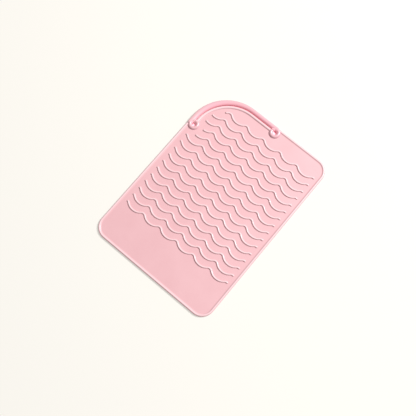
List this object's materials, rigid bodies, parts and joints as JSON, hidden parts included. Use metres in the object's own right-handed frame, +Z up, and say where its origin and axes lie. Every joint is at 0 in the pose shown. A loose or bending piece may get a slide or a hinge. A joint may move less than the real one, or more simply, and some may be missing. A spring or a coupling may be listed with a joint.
{
  "type": "silicone heat mat for hair irons",
  "caption": "Flat silicone heat mat with raised wavy ribs, a rim, a plain panel and a lifting corner strap; it rolls up around a hot hair iron.",
  "frame": {"origin": "under the middle of the mat, on the flat underside", "axes": "+Y along the mat to the end with the strap, +X across it, +Z up out of the ribbed face"},
  "size_m": [0.165, 0.229, 0.0048],
  "materials": {
    "sheet": "matt moulded silicone, pale pink, faintly mottled",
    "rib": "matt moulded silicone, pale pink",
    "strap": "smooth satin silicone, slightly deeper pink"
  },
  "bodies": {
    "head": {"head_panel": "sheet", "rib_01": "rib", "rib_02": "rib", "rib_03": "rib", "rib_04": "rib", "rib_05": "rib", "rib_06": "rib", "rib_07": "rib", "rib_08": "rib", "ring_left": "strap", "ring_right": "strap", "slit_lip": "strap"},
    "strip_01": {"fold_strip_01": "sheet", "rib_09": "rib"},
    "strip_02": {"fold_strip_02": "sheet", "rib_10": "rib"},
    "strip_03": {"fold_strip_03": "sheet", "rib_11": "rib"},
    "strip_04": {"fold_strip_04": "sheet", "rib_12": "rib"},
    "strip_05": {"fold_strip_05": "sheet", "rib_13": "rib"},
    "strip_06": {"fold_strip_06": "sheet", "rib_14": "rib"},
    "strip_07": {"fold_strip_07": "sheet", "rib_15": "rib"},
    "strip_08": {"fold_strip_08": "sheet", "rib_16": "rib"},
    "strip_09": {"fold_strip_09": "sheet"},
    "strip_10": {"fold_strip_10": "sheet"},
    "strip_11": {"fold_strip_11": "sheet"},
    "strip_12": {"fold_strip_12": "sheet"},
    "strap": {"strap": "strap"}
  },
  "joints": [
    {"name": "fold_01", "type": "hinge", "parent": "head", "child": "strip_01", "pos_m": [0, 0.01218, 0.0032], "axis": [-1, 0, 0], "range_deg": [0, 25], "stiffness_Nm_per_rad": 0.04},
    {"name": "fold_02", "type": "hinge", "parent": "strip_01", "child": "strip_02", "pos_m": [0, 0.00172, 0.0032], "axis": [-1, 0, 0], "range_deg": [0, 25], "stiffness_Nm_per_rad": 0.04},
    {"name": "fold_03", "type": "hinge", "parent": "strip_02", "child": "strip_03", "pos_m": [0, -0.00873, 0.0032], "axis": [-1, 0, 0], "range_deg": [0, 25], "stiffness_Nm_per_rad": 0.04},
    {"name": "fold_04", "type": "hinge", "parent": "strip_03", "child": "strip_04", "pos_m": [0, -0.01918, 0.0032], "axis": [-1, 0, 0], "range_deg": [0, 25], "stiffness_Nm_per_rad": 0.04},
    {"name": "fold_05", "type": "hinge", "parent": "strip_04", "child": "strip_05", "pos_m": [0, -0.02962, 0.0032], "axis": [-1, 0, 0], "range_deg": [0, 25], "stiffness_Nm_per_rad": 0.04},
    {"name": "fold_06", "type": "hinge", "parent": "strip_05", "child": "strip_06", "pos_m": [0, -0.04007, 0.0032], "axis": [-1, 0, 0], "range_deg": [0, 25], "stiffness_Nm_per_rad": 0.04},
    {"name": "fold_07", "type": "hinge", "parent": "strip_06", "child": "strip_07", "pos_m": [0, -0.05053, 0.0032], "axis": [-1, 0, 0], "range_deg": [0, 25], "stiffness_Nm_per_rad": 0.04},
    {"name": "fold_08", "type": "hinge", "parent": "strip_07", "child": "strip_08", "pos_m": [0, -0.06098, 0.0032], "axis": [-1, 0, 0], "range_deg": [0, 25], "stiffness_Nm_per_rad": 0.04},
    {"name": "fold_09", "type": "hinge", "parent": "strip_08", "child": "strip_09", "pos_m": [0, -0.07143, 0.0032], "axis": [-1, 0, 0], "range_deg": [0, 25], "stiffness_Nm_per_rad": 0.04},
    {"name": "fold_10", "type": "hinge", "parent": "strip_09", "child": "strip_10", "pos_m": [0, -0.08219, 0.0032], "axis": [-1, 0, 0], "range_deg": [0, 25], "stiffness_Nm_per_rad": 0.04},
    {"name": "fold_11", "type": "hinge", "parent": "strip_10", "child": "strip_11", "pos_m": [0, -0.09296, 0.0032], "axis": [-1, 0, 0], "range_deg": [0, 25], "stiffness_Nm_per_rad": 0.04},
    {"name": "fold_12", "type": "hinge", "parent": "strip_11", "child": "strip_12", "pos_m": [0, -0.10373, 0.0032], "axis": [-1, 0, 0], "range_deg": [0, 25], "stiffness_Nm_per_rad": 0.04},
    {"name": "strap_lift", "type": "hinge", "parent": "head", "child": "strap", "pos_m": [-0.0344, 0.0812, 0.0048], "axis": [0.8349, 0.5503, 0], "range_deg": [0, 100], "stiffness_Nm_per_rad": 0.02}
  ],
  "couplings": [
    {"joint": "fold_02", "follows": "fold_01", "ratio": 1},
    {"joint": "fold_03", "follows": "fold_01", "ratio": 1},
    {"joint": "fold_04", "follows": "fold_01", "ratio": 1},
    {"joint": "fold_05", "follows": "fold_01", "ratio": 1},
    {"joint": "fold_06", "follows": "fold_01", "ratio": 1},
    {"joint": "fold_07", "follows": "fold_01", "ratio": 1},
    {"joint": "fold_08", "follows": "fold_01", "ratio": 1},
    {"joint": "fold_09", "follows": "fold_01", "ratio": 1},
    {"joint": "fold_10", "follows": "fold_01", "ratio": 1},
    {"joint": "fold_11", "follows": "fold_01", "ratio": 1},
    {"joint": "fold_12", "follows": "fold_01", "ratio": 1}
  ]
}
